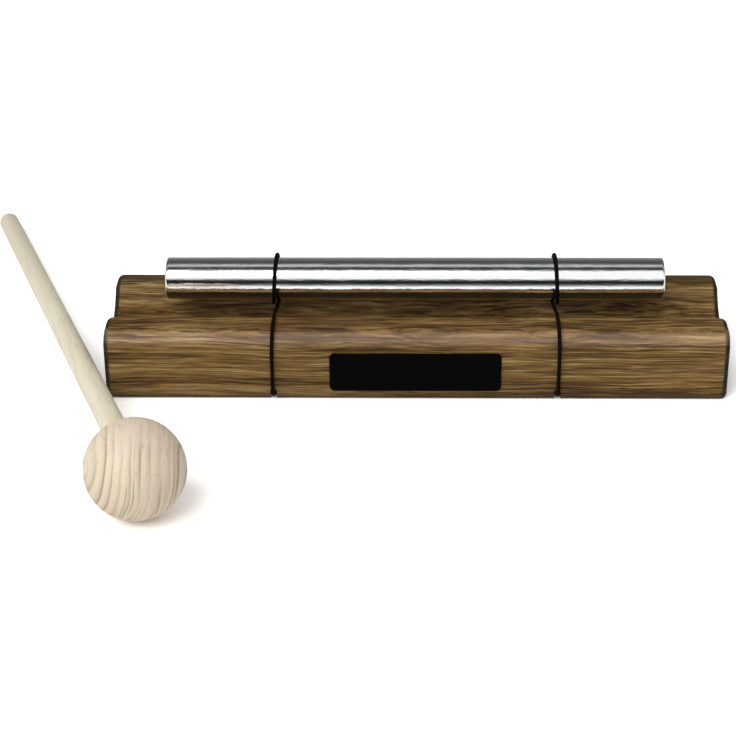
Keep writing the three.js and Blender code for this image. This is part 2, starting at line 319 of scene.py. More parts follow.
def brown_wood():
    """Brown open-pored hardwood. Growth rings bend round a pith below the back of the block, so the
    faces show streaks along X and the ends show arcs."""
    g = Graph("brown_wood")
    place = g.place()
    x, y, z = g.split(place)
    face_x, face_y, face_z = g.facing()

    # The grain runs along X, out through the rings, and round the pith
    sway = g.add((g.noise(place, (9, 18, 18)), 0.0050), (g.noise(place, (38, 60, 60)), 0.0012))
    across, up = g.minus(y, PITH_Y), g.minus(z, PITH_Z)
    ring = g.add(g.distance(across, up), sway)
    round_pith = g.times(g.math("ARCTAN2", across, up), PITH_DISTANCE)
    grain = g.join(x, ring, round_pith)
    bands = g.noise(grain, (10, 330, 12))
    streaks = g.noise(grain, (30, 1350, 60), detail=4.0, rough=0.66, move=(3.1, 0.4, 1.7))
    fibres = g.noise(grain, (70, 2900, 900), detail=3.0, rough=0.65, move=(0.2, 5.3, 2.9))
    color = g.ramp(g.add((bands, 0.24), (streaks, 0.42), (fibres, 0.34)), GRAIN_TONES)
    blush = g.noise(place, (16, 60, 60), move=(7.3, 2.2, 0.1))
    color = g.mix(g.step(blush, (0.45, 0.72), to=(0.0, 0.30)), color, BLUSH_TONE)
    pores = g.noise(grain, (46, 2500, 800), rough=0.55, move=(1.9, 0.7, 4.4))
    gather = g.noise(grain, (15, 380, 30), detail=1.0, move=(0.6, 3.8, 2.6))
    pore = g.times(g.step(pores, (0.55, 0.61)), g.step(gather, (0.40, 0.56)))
    color = g.mix(g.times(pore, 0.82), color, PORE_TONE)

    # The cut ends have drunk more finish, as end grain does; they and the roundings next to them
    # are darkened further as painted shade
    arcs = g.noise(grain, (0, 950, 30), rough=0.6)
    dots = g.noise(place, (0, 2800, 2800), rough=0.7)
    ended = g.step(g.size(face_x), (0.06, 0.48))
    color = g.mix(ended, color, g.ramp(g.add((arcs, 0.62), (dots, 0.38)), END_GRAIN_AND_SHADE_TONES))

    # The eased long edges are painted paler: a painted sheen
    level = g.size(face_z)
    aslant = g.times(g.step(level, (0.25, 0.6)), g.step(level, (0.80, 0.97), to=(1.0, 0.0)))
    painted_sheen = g.times(g.step(g.size(y), PAINTED_SHEEN_Y), aslant)
    color = g.mix(g.times(painted_sheen, 0.30), color, PAINTED_SHEEN_TONE)
    color = g.mix(painted_sheen, color, PAINTED_SHEEN_GAIN, "MULTIPLY")

    # The hollow's near slope, under the bar, and the far ridge are painted darker as shade, but not
    # the back
    not_back = g.step(face_y, (0.55, 0.95), to=(1.0, 0.0))
    far = g.times(g.step(y, FAR_SHADE_Y, to=(0.0, 0.66)), not_back)
    near = g.times(g.step(y, NEAR_SHADE_Y), g.step(y, NEAR_SHADE_END_Y, to=(0.0, 0.88)))
    near = g.times(near, g.step(face_z, (0.1, 0.4)))
    color = g.mix(g.math("MAXIMUM", far, near), color, PAINTED_SHADE_TONE)
    # Darker towards the table and on faces turned down: painted shade
    color = g.mix(g.step(z, FOOT_Z, to=(0.0, 0.50)), color, FOOT_SHADE_TONE)
    under = g.step(g.times(face_z, -1.0), (0.02, 0.45), to=(0.0, 0.75))
    color = g.mix(under, color, UNDERSIDE_SHADE_TONE)

    roughness = g.add((fibres, 0.22), (pore, 0.2), (ended, 0.3), 0.40)
    height = g.add((streaks, 0.5), (fibres, 0.35), (pore, -0.9))
    normal = g.bump(height, distance=0.00014, strength=0.8)
    return g.finish(color, roughness, normal, Specular_IOR_Level=0.20)


METAL_TONE, SCUFF_TONE = tone(250, 250, 251), tone(228, 228, 231)


def turned_metal():
    """Bright turned metal: fine lines round the bar, faint scuffs, and rings on its cut ends."""
    g = Graph("turned_metal")
    place = g.place()
    x, y, z = g.split(place)
    lines = g.noise(g.join(x, 0.0, 0.0), (7200, 1, 1), detail=3.0, rough=0.65)
    lay = g.noise(place, (120, 620, 620), detail=3.0, rough=0.6, move=(4.0, 1.2, 0.7))
    scuffs = g.noise(place, (900, 240, 240), detail=4.0, rough=0.7, move=(1.0, 8.1, 3.3))
    from_axis = g.distance(y, g.minus(z, BAR_Z * MM))
    rings = g.noise(g.join(from_axis, 0.0, 0.0), (3600, 1, 1), rough=0.6)
    face_x = g.facing()[0]
    ended = g.step(g.size(face_x), (0.5, 0.95))
    color = g.mix(g.step(scuffs, (0.5, 0.85), to=(0.0, 0.5)), METAL_TONE, SCUFF_TONE)
    roughness = g.add(g.step(scuffs, (0.45, 0.85), to=(0.045, 0.14)), (ended, 0.16))
    lay = g.times(lay, g.minus(1.0, ended))
    height = g.add((lines, 0.06), (lay, 0.94), (g.times(rings, ended), 0.16))
    normal = g.bump(height, distance=0.00006, strength=1.0)
    return g.finish(color, roughness, normal, Metallic=1.0)


# Elastic cord: strands side by side round it, and millimetres along it to the next strand
BRAID_STRANDS, BRAID_RUN = 8.0, 1.1
BRAID_SHADED_TONE, BRAID_LIT_TONE = tone(9, 5, 3), tone(27, 19, 14)


def braided_elastic():
    """Black elastic cord in a braided cover: two families of strands, over and under each other."""
    g = Graph("braided_elastic")
    u, v, _ = g.split(g.surface())
    turn = g.times(u, BRAID_STRANDS)
    along = g.math("DIVIDE", v, BRAID_RUN)
    right, left = g.add(turn, along), g.minus(turn, along)
    parity = g.add(g.math("FLOOR", right), g.math("FLOOR", left))
    over = g.math("PINGPONG", parity, 1.0)
    right_crown = g.times(g.math("PINGPONG", right, 0.5), over)
    left_crown = g.times(g.math("PINGPONG", left, 0.5), g.minus(1.0, over))
    crown = g.add((right_crown, 2.0), (left_crown, 2.0))
    fuzz = g.noise(g.join(turn, along, 0.0), (3, 9, 1), detail=3.0, rough=0.65)
    # The strands' crowns are painted lighter and the crevices between them darker: painted light
    # and shade, with a random fuzz
    color = g.mix(g.add((crown, 0.6), (fuzz, 0.4)), BRAID_SHADED_TONE, BRAID_LIT_TONE)
    normal = g.bump(g.add((crown, 1.0), (fuzz, 0.25)), distance=0.00009, strength=0.9)
    return g.finish(color, 0.72, normal, Specular_IOR_Level=0.03)


LACQUER_TONE, DUST_TONE = tone(5, 4, 5), tone(13, 12, 14)


def gloss_black():
    """Gloss black lacquer with a faint ripple and fine dust."""
    g = Graph("gloss_black")
    place = g.place()
    ripple = g.noise(place, (70, 70, 90))
    dust = g.noise(place, (2600, 2600, 2600), detail=3.0, rough=0.6)
    color = g.mix(g.step(dust, (0.55, 0.8)), LACQUER_TONE, DUST_TONE)
    roughness = g.step(dust, (0.4, 0.75), to=(0.10, 0.24))
    normal = g.bump(ripple, distance=0.00012, strength=0.5)
    return g.finish(color, roughness, normal, Specular_IOR_Level=0.02)


# Pale wood: how far its pith lies above the centre, where its rings fade towards the top, and
# where along the handle the greyer part towards the tip begins
PALE_PITH_RISE = 0.004
PALE_RINGS_FADE = (0.0120, 0.0155)
TIPWARD_GREY_REACH = (0.06, 0.22)
TIPWARD_GREY_TONE, FLECK_TONE, FIBRE_TONE = tone(192, 182, 160), tone(188, 156, 122), tone(243, 233, 215)


def pale_wood(name, centre, normal, along, pitch, pith, depth, early, late_tone):
    """Pale close-grained wood. Growth rings lie pitch metres apart, square to normal at the centre,
    and bend round a pith that lies pith metres off. Fibres and flecks run along the direction
    named. Depth is how strongly the rings show, and early holds two tones of the wood between."""
    g = Graph(name)
    place = g.place()
    across = Vector(normal).normalized()
    fibre = (along - across * along.dot(across)).normalized()
    rise = (Vector((0, 0, 1)) - across * across.z).normalized()

    def from_centre(direction):
        return g.minus(g.dot(place, direction), direction.dot(centre))

    # Rings, bent round the pith and swaying
    ring, run, side = (from_centre(way) for way in (across, fibre, across.cross(fibre)))
    turned = g.join(ring, run, side)
    sway = g.noise(turned, (55, 28, 28), move=(2.0, 1.1, 0.4))
    waver = g.noise(turned, (160, 60, 60), detail=1.0, move=(0.3, 4.1, 2.4))
    up = from_centre(rise)
    from_pith = g.distance(g.add(ring, pith), g.minus(up, PALE_PITH_RISE))
    bent = g.add(g.minus(from_pith, pith), (sway, 1.9 * pitch), (waver, 0.5 * pitch))
    phase = g.math("FRACT", g.math("DIVIDE", bent, pitch))
    broad = g.times(g.step(phase, (0.10, 0.70)), g.step(phase, (0.76, 0.96), to=(1.0, 0.0)))
    narrow = g.times(g.step(phase, (0.50, 0.74)), g.step(phase, (0.77, 0.88), to=(1.0, 0.0)))
    uneven = g.noise(turned, (130, 25, 25), detail=1.0, move=(5.0, 0.3, 7.4))
    late = g.times(g.add((broad, 0.4), (narrow, 0.6)), g.step(uneven, (0.34, 0.62), to=(0.25, 1.0)))
    threads = g.noise(g.join(bent, run, side), (1150, 22, 22), rough=0.55, move=(0.9, 6.2, 1.8))
    late = g.math("MAXIMUM", late, g.step(threads, (0.55, 0.66), to=(0.0, 0.8)))
    late = g.times(late, g.step(up, PALE_RINGS_FADE, to=(1.0, 0.3)))

    fibres = g.noise(turned, (2400, 90, 2400), detail=3.0, rough=0.6)
    flecks = g.noise(turned, (1300, 150, 420), move=(0.7, 1.9, 3.2))
    blotch = g.noise(place, (45, 45, 45))
    color = g.mix(g.step(blotch, (0.35, 0.68)), *early)
    # The handle turns greyer towards its tip
    color = g.mix(g.step(from_centre(along), TIPWARD_GREY_REACH, to=(0.0, 0.6)), color, TIPWARD_GREY_TONE)
    color = g.mix(g.times(late, depth), color, late_tone)
    color = g.mix(g.step(flecks, (0.60, 0.74), to=(0.0, 0.40)), color, FLECK_TONE)
    color = g.mix(g.step(fibres, (0.35, 0.75), to=(0.0, 0.25)), color, FIBRE_TONE)
    roughness = g.step(fibres, (0.3, 0.8), to=(0.50, 0.66))
    height = g.add((fibres, 0.4), (late, -0.35), (flecks, -0.2))
    return g.finish(color, roughness, g.bump(height, distance=0.00008, strength=0.7))


# Mesh tools, all in millimetres. Points of a turned shape that lie closer than WELD become one.

WELD = 0.0001


def mesh_from(name, bm, smooth_degrees=35.0):
    """A mesh in metres, smooth except at edges that turn by more than the angle."""
    bmesh.ops.scale(bm, vec=(MM, MM, MM), verts=bm.verts)
    mesh = bpy.data.meshes.new(name)
    bm.to_mesh(mesh)
    bm.free()
    mesh.polygons.foreach_set("use_smooth", [True] * len(mesh.polygons))
    mesh.set_sharp_from_angle(angle=math.radians(smooth_degrees))
    return mesh


def skin(rings, caps=True, distances=None):
    """A closed skin through rings of points. With distances, UV holds turns round and the place
    along."""
    bm = bmesh.new()
    rows = [[bm.verts.new(point) for point in ring] for ring in rings]
    count = len(rows[0])
    layer = bm.loops.layers.uv.new("uv")
    for r in range(len(rows) - 1):
        for i in range(count):
            j = (i + 1) % count
            face = bm.faces.new((rows[r][i], rows[r][j], rows[r + 1][j], rows[r + 1][i]))
            if distances is not None:
                corners = ((i, r), (i + 1, r), (i + 1, r + 1), (i, r + 1))
                for loop, (turn, row) in zip(face.loops, corners):
                    loop[layer].uv = (turn / count, distances[row])
    if caps:
        bm.faces.new(rows[0][::-1])
        bm.faces.new(rows[-1])
    bmesh.ops.recalc_face_normals(bm, faces=bm.faces)
    return bm


def lathe(profile, sides):
    """A profile of (radius, height) turned round the Y axis. Points on the axis become one."""
    angles = [FULL_TURN * i / sides for i in range(sides)]
    rings = [[(r * math.cos(a), y, r * math.sin(a)) for a in angles] for r, y in profile]
    bm = skin(rings, caps=False)
    bmesh.ops.remove_doubles(bm, verts=bm.verts, dist=WELD)
    bmesh.ops.recalc_face_normals(bm, faces=bm.faces)
    return bm


def arc(centre, radius, start, end, steps):
    angles = [start + (end - start) * i / steps for i in range(steps + 1)]
    return [(centre[0] + radius * math.cos(a), centre[1] + radius * math.sin(a)) for a in angles]


def softened(points, corners):
    """A line of points with some corners rounded: corners maps a point's index to the rounding's
    reach."""
    result = []
    for index, point in enumerate(points):
        if index not in corners:
            result.append(point)
            continue
        corner = Vector(point)
        before = corner + (Vector(points[index - 1]) - corner).normalized() * corners[index]
        after = corner + (Vector(points[index + 1]) - corner).normalized() * corners[index]
        for i in range(SOFTENING_STEPS + 1):
            t = i / SOFTENING_STEPS
            bend = before * (1 - t) ** 2 + corner * 2 * t * (1 - t) + after * t ** 2
            result.append(tuple(bend))
    return result


def smooth_way(points, per_span):
    """Points along a centripetal Catmull-Rom curve through the points given."""
    points = [Vector(p) for p in points]
    points = [points[0] * 2 - points[1], *points, points[-1] * 2 - points[-2]]
    way = []
    for a, b, c, d in zip(points, points[1:], points[2:], points[3:]):
        t1 = (b - a).length ** 0.5
        t2 = t1 + (c - b).length ** 0.5
        t3 = t2 + (d - c).length ** 0.5
        for i in range(per_span):
            t = t1 + (t2 - t1) * i / per_span
            ab = a * ((t1 - t) / t1) + b * (t / t1)
            bc = b * ((t2 - t) / (t2 - t1)) + c * ((t - t1) / (t2 - t1))
            cd = c * ((t3 - t) / (t3 - t2)) + d * ((t - t2) / (t3 - t2))
            low = ab * ((t2 - t) / t2) + bc * (t / t2)
            high = bc * ((t3 - t) / (t3 - t1)) + cd * ((t - t1) / (t3 - t1))
            way.append(low * ((t2 - t) / (t2 - t1)) + high * ((t - t1) / (t2 - t1)))
    way.append(points[-2])
    return way


def tube_rings(way, radius, sides):
    """Rings square to a way of points, carried along it without twisting, and how far along each
    is. The first ring is turned by the X axis, or by the Y axis where the way starts along X."""
    rings, distances, total = [], [], 0.0
    ahead = (way[1] - way[0]).normalized()
    side = ahead.cross(Vector((1, 0, 0)))
    side = (side if side.length > 0.1 else ahead.cross(Vector((0, 1, 0)))).normalized()
    turns = [FULL_TURN * k / sides for k in range(sides)]
    for i, point in enumerate(way):
        if i:
            total += (point - way[i - 1]).length
        tangent = (way[min(i + 1, len(way) - 1)] - way[max(i - 1, 0)]).normalized()
        side = (side - tangent * side.dot(tangent)).normalized()
        up = tangent.cross(side)
        rings.append([point + (side * math.cos(a) + up * math.sin(a)) * radius for a in turns])
        distances.append(total)
    return rings, distances


def add_piece(name, mesh, material, body, slot, *nodes):
    """A piece that stands for the nodes named. One without a body is attached to none."""
    mesh.materials.append(material)
    piece = bpy.data.objects.new(name, mesh)
    bpy.context.scene.collection.objects.link(piece)
    if nodes:
        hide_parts(*nodes)
    if body:
        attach(piece, body)
    return piece


# Wooden base

# An easing is an arc bulged out from a chamfer, and the hollow is an arc as well. EASE_IN is how
# far the easing's centre lies from the back face and the top.
HALF_DEPTH = BASE_DEPTH / 2
EASE_BULGE = TOP_EASE * TOP_EASE_BULGE
EASE_RADIUS = 2 * TOP_EASE ** 2 / (8 * EASE_BULGE) + EASE_BULGE / 2
EASE_IN = TOP_EASE / 2 + (EASE_RADIUS - EASE_BULGE) * math.sqrt(0.5)
COVE_RADIUS = ((COVE_WIDTH / 2) ** 2 + COVE_DEPTH ** 2) / (2 * COVE_DEPTH)
COVE_Z = BASE_HEIGHT - COVE_DEPTH + COVE_RADIUS
MOUTH_Y, MOUTH_Z = HALF_DEPTH - MOUTH_RADIUS, GROOVE_DEPTH + MOUTH_RADIUS

# How far the cutters stick out of the block, how close the points of a cut become one, and which
# edges count as a cut's: those near it that turn by more than the corner
CUT_BEYOND, CUT_WELD = 2.0, 0.001
CUT_NEARNESS, CUT_CORNER = 1.0, math.radians(40)


def half_profile(inset):
    """Half of the end profile, from the table up the back to the middle of the hollow."""
    ease_start = math.acos((EASE_IN - inset) / (EASE_RADIUS - inset))
    cove_reach = math.acos((COVE_Z - BASE_HEIGHT + inset) / (COVE_RADIUS + inset))
    radius = max(BOTTOM_EDGE - inset, SHARPEST_EDGE)
    bottom = arc(
        (HALF_DEPTH - inset - radius, inset + radius), radius, -QUARTER_TURN, 0, BOTTOM_STEPS,
    )
    ease = arc(
        (HALF_DEPTH - EASE_IN, BASE_HEIGHT - EASE_IN), EASE_RADIUS - inset,
        ease_start, QUARTER_TURN - ease_start, EASE_STEPS,
    )
    cove = arc(
        (0, COVE_Z), COVE_RADIUS + inset, cove_reach - QUARTER_TURN, -QUARTER_TURN, COVE_STEPS,
    )
    ease_foot = len(bottom)
    ease_head = ease_foot + len(ease) - 1
    return softened(bottom + ease + cove, {
        ease_foot: EASE_SOFTENING, ease_head: EASE_SOFTENING, ease_head + 1: RIDGE_SOFTENING,
    })


def block_mesh():
    """The whole block before its cuts, through profiles that shrink towards the rounded ends."""
    sections = []
    for i in range(END_STEPS + 1):
        angle = QUARTER_TURN * i / END_STEPS
        inset = END_EDGE * (1 - math.sin(angle))
        x = BASE_LENGTH / 2 - END_EDGE * (1 - math.cos(angle))
        back = half_profile(inset)
        front = [(-y, z) for y, z in back[:-1][::-1]]
        sections.append((x, back + front))
    left = [[(-x, y, z) for y, z in points] for x, points in sections]
    right = [[(x, y, z) for y, z in points] for x, points in sections[::-1]]
    return skin(left + right)


def groove_x(side):
    return side * (CORD_SPACING / 2 + CORD_PITCH / 8)


def cord_way_meshes(side):
    """The groove under the base, rising over a lip at each long face, and the knot's recess."""
    x, edge = groove_x(side), HALF_DEPTH + CUT_BEYOND
    back = [(edge, -CUT_BEYOND), (edge, MOUTH_Z)]
    back += arc((MOUTH_Y, MOUTH_Z), MOUTH_RADIUS, 0, -QUARTER_TURN, CUT_MOUTH_STEPS)
    outline = back + [(-y, z) for y, z in back[::-1]]
    yield skin([[(x + sign * GROOVE_WIDTH / 2, y, z) for y, z in outline] for sign in (-1, 1)])
    recess = lathe([
        (0, -CUT_BEYOND), (RECESS_RADIUS, -CUT_BEYOND),
        (RECESS_RADIUS, RECESS_DEPTH - RECESS_CHAMFER),
        (RECESS_RADIUS - RECESS_CHAMFER, RECESS_DEPTH), (0, RECESS_DEPTH),
    ], RECESS_SIDES)
    bmesh.ops.rotate(recess, matrix=Matrix.Rotation(QUARTER_TURN, 3, "X"), verts=recess.verts)
    bmesh.ops.translate(recess, vec=(x, 0, 0), verts=recess.verts)
    yield recess


def is_cut_edge(edge):
    """Whether an edge is a sharp one of the cords' ways."""
    if len(edge.link_faces) != 2 or edge.calc_face_angle() <= CUT_CORNER:
        return False
    reach_x, reach_z = RECESS_RADIUS + CUT_NEARNESS, MOUTH_Z + CUT_NEARNESS
    return all(
        abs(abs(v.co.x) - groove_x(1)) < reach_x and v.co.z < reach_z for v in edge.verts
    )


def cut_block():
    """The block with the cords' ways cut out of it and the cuts' edges softened."""
    scene = bpy.context.scene
    block = bpy.data.objects.new("block", mesh_from("block", block_mesh()))
    scene.collection.objects.link(block)
    cutters = []
    for side in (-1, 1):
        for bm in cord_way_meshes(side):
            cutter = bpy.data.objects.new("cutter", mesh_from("cutter", bm))
            scene.collection.objects.link(cutter)
            cutters.append(cutter)
            cut = block.modifiers.new("cut", "BOOLEAN")
            cut.object, cut.operation, cut.solver = cutter, "DIFFERENCE", "EXACT"
    bpy.context.view_layer.update()
    solid = block.evaluated_get(bpy.context.evaluated_depsgraph_get())
    bm = bmesh.new()
    bm.from_mesh(solid.to_mesh())
    for item in (block, *cutters):
        bpy.data.objects.remove(item)
    bmesh.ops.scale(bm, vec=(1 / MM,) * 3, verts=bm.verts)
    bmesh.ops.remove_doubles(bm, verts=bm.verts, dist=CUT_WELD)
    bmesh.ops.bevel(
        bm, geom=[edge for edge in bm.edges if is_cut_edge(edge)], offset=CUT_SOFTENING,
        segments=2, profile=0.5, affect="EDGES", clamp_overlap=True,
    )
    return mesh_from("base_board", bm, smooth_degrees=24.0)


def add_base():
    board = add_piece("base_board", cut_block(), brown_wood(), "base", "base_wood", "base_block")
    board.modifiers.new("weighted", "WEIGHTED_NORMAL").keep_sharp = True


# Name plate

def plate_outline(inset):
    x, z, r = PLATE_WIDTH / 2, PLATE_HEIGHT / 2, PLATE_CORNER
    centres = ((x - r, z - r), (r - x, z - r), (r - x, r - z), (x - r, r - z))
    points = []
    for quarter, centre in enumerate(centres):
        start = quarter * QUARTER_TURN
        points += arc(centre, r - inset, start, start + QUARTER_TURN, PLATE_CORNER_STEPS)
    return points


def add_plate():
    """A thin plate whose front edge is rounded and whose face is barely crowned."""
    middle = PLATE_LIFT + PLATE_HEIGHT / 2
    back = -HALF_DEPTH - GLUE_GAP
    levels = [(0.0, 0.0)]
    for i in range(PLATE_ROUNDING_STEPS + 1):
        angle = QUARTER_TURN * i / PLATE_ROUNDING_STEPS
        levels.append((
            PLATE_ROUNDING * (1 - math.cos(angle)),
            PLATE_THICKNESS - PLATE_ROUNDING * (1 - math.sin(angle)) - PLATE_CROWN,
        ))
    levels.append((PLATE_CROWN_INSET, PLATE_THICKNESS))
    rings = [
        [(x, back - out, middle + z) for x, z in plate_outline(inset)] for inset, out in levels
    ]
    mesh = mesh_from("name_plate_body", skin(rings), smooth_degrees=50.0)
    add_piece("name_plate_body", mesh, gloss_black(), "base", "plate_gloss", "name_plate")


# Metal bar

def add_bar():
    """A turned bar with rounded edges and the centre drill's mark in each end."""
    radius, end = BAR_DIAMETER / 2, BAR_LENGTH / 2
    profile = [(r, end - depth) for r, depth in CENTRE_DRILL]
    profile += arc((radius - BAR_EDGE, end - BAR_EDGE), BAR_EDGE, QUARTER_TURN, 0, BAR_EDGE_STEPS)
    profile.append((radius, end / 3))
    profile += [(r, -y) for r, y in profile[::-1]]
    bm = lathe(profile, BAR_SIDES)
    bmesh.ops.rotate(bm, matrix=Matrix.Rotation(-QUARTER_TURN, 3, "Z"), verts=bm.verts)
    bmesh.ops.translate(bm, vec=(BAR_SHIFT, 0, BAR_Z), verts=bm.verts)
    mesh = mesh_from("bar_body", bm)
    add_piece("bar_body", mesh, turned_metal(), "tone_bar", "bar_metal", "tone_bar")


# Elastic cords

CORD_RADIUS = CORD_DIAMETER / 2
CORD_SEAT = GAP + CORD_RADIUS
TURN_RADIUS = BAR_DIAMETER / 2 + CORD_SEAT
RIDGE_CORD_Z = BASE_HEIGHT + CORD_SEAT
FACE_Y = HALF_DEPTH + CORD_SEAT
GROOVE_Z = GROOVE_DEPTH - CORD_SEAT
SPAN_END_Y = COVE_WIDTH / 2 + GAP / 2

# Where a cord's turn round the bar starts and ends, and where it crosses the hollow's two edges
# and the base's faces
TURN_START_X = CORD_SPACING / 2 - CORD_PITCH / 2
TURN_END_X = CORD_SPACING / 2 + CORD_PITCH / 2
FRONT_RIDGE_X = TURN_START_X + CORD_PITCH * 0.6
BACK_RIDGE_X = TURN_END_X - CORD_PITCH / 8
FACE_X = TURN_END_X - CORD_PITCH / 4


def run_points(side):
    """The way round the base, from the front edge of the hollow down, under and up to its back
    edge."""
    centre_y, centre_z = HALF_DEPTH - EASE_IN, BASE_HEIGHT - EASE_IN
    start = math.acos(EASE_IN / EASE_RADIUS)
    ease = arc(
        (centre_y, centre_z), EASE_RADIUS + CORD_SEAT, QUARTER_TURN - start, start, CORD_EASE_STEPS,
    )
    mouth = arc((MOUTH_Y, MOUTH_Z), MOUTH_RADIUS + CORD_SEAT, 0, -QUARTER_TURN, CORD_MOUTH_STEPS)
    over = [(SPAN_END_Y, RIDGE_CORD_Z), ((SPAN_END_Y + centre_y) / 2, RIDGE_CORD_Z), *ease]
    down = [
        (FACE_Y, BASE_HEIGHT - TOP_EASE - CORD_DIAMETER),
        (FACE_Y, MOUTH_Z + CORD_DIAMETER),
        *mouth,
        (MOUTH_Y - CORD_DIAMETER, GROOVE_Z),
        (RECESS_RADIUS + CORD_DIAMETER, GROOVE_Z),
    ]
    under_x = groove_x(1)

    def lateral(index, ridge_x):
        if index < len(over):
            return ridge_x + (FACE_X - ridge_x) * index / len(over)
        return FACE_X + (under_x - FACE_X) * (index - len(over)) / (len(down) - 1)

    half = list(enumerate(over + down))
    front = [(side * lateral(i, FRONT_RIDGE_X), -y, z) for i, (y, z) in half]
    back = [(side * lateral(i, BACK_RIDGE_X), y, z) for i, (y, z) in half]
    return [*front, (side * under_x, 0, GROOVE_Z), *back[::-1]]


def turn_way(side):
    """One full turn round the bar: up behind it, over, and down in front."""
    way = []
    for i in range(TURN_STEPS + 1):
        share = i / TURN_STEPS
        angle = FULL_TURN * share
        x = side * (TURN_START_X + CORD_PITCH * share ** CORD_EASE)
        way.append(Vector((
            x, TURN_RADIUS * math.sin(angle), BAR_Z - TURN_RADIUS * math.cos(angle),
        )))
    return way


def span_way(side, y_sign, under_x, ridge_x):
    """From under the bar out to the edge of the hollow, level at both ends."""
    low = BAR_Z - TURN_RADIUS
    points = []
    for i in range(SPAN_STEPS + 1):
        share = i / SPAN_STEPS
        rise = share ** 2 * (3 - 2 * share)
        points.append(Vector((
            side * (under_x + (ridge_x - under_x) * share),
            y_sign * SPAN_END_Y * share,
            low + (RIDGE_CORD_Z - low) * rise,
        )))
    return points


def knot_way(side):
    """A barrel knot lying along the groove, with its two cut ends turned out."""
    def from_middle(x, y, z):
        return groove_x(side) + x, y, GROOVE_Z + KNOT_LIFT + z

    way = [from_middle(*place) for place in KNOT_END_IN]
    last = KNOT_TURNS * KNOT_STEPS
    for i in range(last + 1):
        angle = KNOT_START + FULL_TURN * i / KNOT_STEPS
        along = KNOT_LENGTH * i / last - KNOT_LENGTH / 2
        way.append(from_middle(
            KNOT_HALF_WIDTH * math.cos(angle), along, KNOT_HALF_HEIGHT * math.sin(angle),
        ))
    way += [from_middle(*place) for place in KNOT_END_OUT]
    return smooth_way(way, KNOT_SMOOTHING)


def add_cord(side, word, material):
    """One cord: its run round the base, its knot, its loop round the bar, and the two spans that
    stretch between them."""
    def add(part, way, body, *nodes):
        rings, distances = tube_rings(way, CORD_RADIUS, CORD_SIDES)
        name = f"cord_{word}_{part}"
        mesh = mesh_from(name, skin(rings, distances=distances), smooth_degrees=60.0)
        return add_piece(name, mesh, material, body, "cord_elastic", *nodes)

    add("run", smooth_way(run_points(side), RUN_SMOOTHING), "base", f"cord_{word}_wrap")
    add("knot", knot_way(side), "base")
    add("loop", turn_way(side), "cord_cradle", f"cord_{word}_turn")
    for y_sign, place, under_x, ridge_x in (
        (-1, "front", TURN_START_X, FRONT_RIDGE_X), (1, "back", TURN_END_X, BACK_RIDGE_X),
    ):
        way = span_way(side, y_sign, under_x, ridge_x)
        span = add(f"{place}_reach", way, None, f"cord_{word}_{place}_span")
        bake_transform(span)


# Beater

HEAD_RADIUS = HEAD_DIAMETER / 2
HANDLE_SHOULDER = HANDLE_REACH - HANDLE_TIP_ROUNDING
BORE_FLOOR = HEAD_RADIUS - HEAD_BORE


def mallet_place():
    """Where the beater lies on its ball and its tip: the matrix from its own frame, in which its
    head's middle is the origin and its handle runs along +Y, and the handle's direction."""
    tip = HANDLE_TIP / 2
    to_tip = math.hypot(HANDLE_SHOULDER, tip)
    dip = math.asin(HEAD_RADIUS / to_tip) - math.atan2(tip, HANDLE_SHOULDER)
    away = Vector((-math.sin(MALLET_TURN), math.cos(MALLET_TURN)))
    right = Vector((math.cos(MALLET_TURN), math.sin(MALLET_TURN)))
    passing = HANDLE_NECK / 2 + MALLET_PASSING_GAP
    at = Vector((-BASE_LENGTH / 2, -HALF_DEPTH)) - away * MALLET_AHEAD - right * passing
    axis = Vector((away.x * math.cos(dip), away.y * math.cos(dip), -math.sin(dip)))
    turn = Vector((0, 1, 0)).rotation_difference(axis).to_matrix().to_4x4()
    return Matrix.Translation((at.x, at.y, HEAD_RADIUS)) @ turn, axis


def add_ball(place, axis):
    """The beater's head: a ball with a blind bore, whose rim is softened."""
    bore = HANDLE_NECK / 2 + BORE_FIT
    brim_angle = math.asin((bore + BRIM_WIDTH) / HEAD_RADIUS)
    brim = HEAD_RADIUS * math.cos(brim_angle)
    profile = [(0.0, -HEAD_RADIUS)]
    for i in range(1, HEAD_STEPS + 1):
        angle = math.pi - (math.pi - brim_angle) * i / HEAD_STEPS
        profile.append((HEAD_RADIUS * math.sin(angle), HEAD_RADIUS * math.cos(angle)))
    profile += [(bore + out, brim - down) for out, down in SOFTENED_RIM]
    profile += [(bore, BORE_FLOOR), (0.0, BORE_FLOOR)]
    ball = lathe(profile, HEAD_SIDES)
    bmesh.ops.transform(ball, matrix=place, verts=ball.verts)
    wood = pale_wood(
        "head_wood", place.translation * MM, normal=(0.986, 0.081, -0.142), along=axis,
        pitch=0.0029, pith=0.055, depth=1.0,
        early=(tone(227, 213, 184), tone(225, 205, 184)), late_tone=tone(171, 140, 112),
    )
    mesh = mesh_from("beater_ball", ball, smooth_degrees=50.0)
    add_piece("beater_ball", mesh, wood, "mallet", "beater_wood", "mallet_head")


